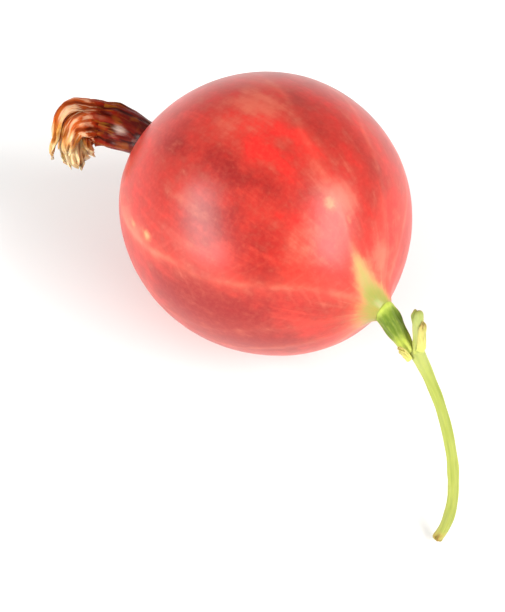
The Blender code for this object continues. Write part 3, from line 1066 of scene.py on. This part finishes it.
def bract(name, line, foot, tip, middle, half_angle, stands, seed):
    """A strap that hugs a stem from its foot to its tip, both given as shares of the stem's line. Its
    distance from that line, in mm, runs through stands, and its edges lift a little."""

    def bract_angle(share):
        """The middle stays in place, and the width falls by a fifth to the tip."""
        return middle, half_angle * (1 - 0.2 * share)

    def bract_distance(share, across):
        """Straight lines between the stands, plus a lift with the square of the place across."""
        return MM * (np.interp(share, (0, 0.5, 1), stands) + 0.08 * across**2)

    blade = strap(line, foot, tip, bract_angle, bract_distance, BRACT_THICKNESS, seed, BRACT_CREASING)
    rings, ends, shares, marks = blade
    marks["from_berry"] = np.abs((marks["from_berry"] - foot) / (tip - foot))
    scale = closed_skin(name, rings, ends, shares, marks)
    scale.data.materials.append(bract_finish.material)
    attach(scale, "root")
    return scale


bract_finish = green_stem("dry_bract", bract_stops, 0.3)
stub_scale = bract(
    "bract_scale_1",
    stub_line,
    foot=0.12,
    tip=0.74,
    middle=math.radians(-12),
    half_angle=math.radians(56),
    stands=(0.5, 0.5, 0.62),
    seed=3,
)
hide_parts("bract_1")
joint_scale = bract(
    "bract_scale_2",
    pedicel_line,
    foot=1.14,
    tip=0.88,
    middle=math.radians(72),
    half_angle=math.radians(46),
    stands=(0.42, 0.54, 0.68),
    seed=5,
)
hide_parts("bract_2")


# ------------------------------------------------------------------------------
# Studio. A plain pale floor that meets the berry, a white room, two tall softboxes that leave the two
# soft highlights on the skin, and a long lens that looks down on the berry.
# ------------------------------------------------------------------------------
CAMERA_AZIMUTH = math.radians(43)
CAMERA_ELEVATION = math.radians(55)
LENS = 250.0  # the camera's focal length, in mm
FIELD_HEIGHT = 46.4 * MM  # how much the frame takes in, from top to bottom, at the berry
FIELD_SHIFT = (-1.1 * MM, -7.1 * MM)  # the frame's middle, right of and above the berry's middle
SOFTBOX_DISTANCE = 1.0  # this and the softboxes' sizes are in metres
SOFTBOX_COLOUR = (0.94, 0.98, 0.95)  # very slightly green
FLOOR_GAP = 0.02 * MM
FLOOR_REACH = 3.0
GREY_CLOUD_SIZE = 40 * MM  # of the paper's barely greyer patches
ROOM_BRIGHTNESS = 0.6

right = Vector((math.cos(CAMERA_AZIMUTH), math.sin(CAMERA_AZIMUTH), 0))
back = Vector(
    (
        math.sin(CAMERA_AZIMUTH) * math.cos(CAMERA_ELEVATION),
        -math.cos(CAMERA_AZIMUTH) * math.cos(CAMERA_ELEVATION),
        math.sin(CAMERA_ELEVATION),
    )
)
up = back.cross(right)
berry_middle = Vector((0, 0, centre_height))
target = berry_middle + right * FIELD_SHIFT[0] + up * FIELD_SHIFT[1]

camera = bpy.data.objects.new("camera", bpy.data.cameras.new("camera"))
camera.data.lens = LENS
camera.data.clip_start = 0.01
camera.location = target + back * (FIELD_HEIGHT * LENS / camera.data.sensor_width)
camera.rotation_euler = back.to_track_quat("Z", "Y").to_euler()
bpy.context.scene.collection.objects.link(camera)
bpy.context.scene.camera = camera


def softbox(name, toward, width, height, brightness):
    """A flat light of that brightness (radiance) that faces the berry from the given side, in the camera's
    own directions: right, up and back. Its tall edge follows the camera's up, as a stand's does."""
    direction = (right * toward[0] + up * toward[1] + back * toward[2]).normalized()
    light = bpy.data.lights.new(name, "AREA")
    light.shape = "RECTANGLE"
    light.size = width
    light.size_y = height
    light.energy = brightness * math.pi * width * height
    light.color = SOFTBOX_COLOUR
    lamp = bpy.data.objects.new(name, light)
    lamp.location = berry_middle + direction * SOFTBOX_DISTANCE
    across = up.cross(direction).normalized()
    lamp.rotation_euler = Matrix((across, direction.cross(across), direction)).transposed().to_euler()
    bpy.context.scene.collection.objects.link(lamp)


softbox("left_softbox", toward=(-0.85, -0.14, 0.5), width=0.42, height=1.05, brightness=9.6)
softbox("right_softbox", toward=(0.73, -0.07, 0.69), width=0.48, height=0.95, brightness=10.0)

corners = ((-1, -1), (1, -1), (1, 1), (-1, 1))
floor_points = [(FLOOR_REACH * x, FLOOR_REACH * y, -FLOOR_GAP) for x, y in corners]
floor_mesh = bpy.data.meshes.new("floor")
floor_mesh.from_pydata(floor_points, [], [(0, 1, 2, 3)])
floor = bpy.data.objects.new("floor", floor_mesh)
bpy.context.scene.collection.objects.link(floor)
paper = Finish("white_paper", Roughness=0.8, Specular_IOR_Level=0.2)
paper.paint(Base_Color=paper.mix(paper.noise(GREY_CLOUD_SIZE), shade(243, 243, 243), shade(247, 247, 247)))
floor.data.materials.append(paper.material)

world = bpy.data.worlds.new("white_room")
world.use_nodes = True
walls = world.node_tree.nodes["Background"]
walls.inputs["Color"].default_value = (1.0, 1.0, 1.0, 1.0)
walls.inputs["Strength"].default_value = ROOM_BRIGHTNESS
bpy.context.scene.world = world
bpy.context.scene.view_settings.view_transform = "Standard"
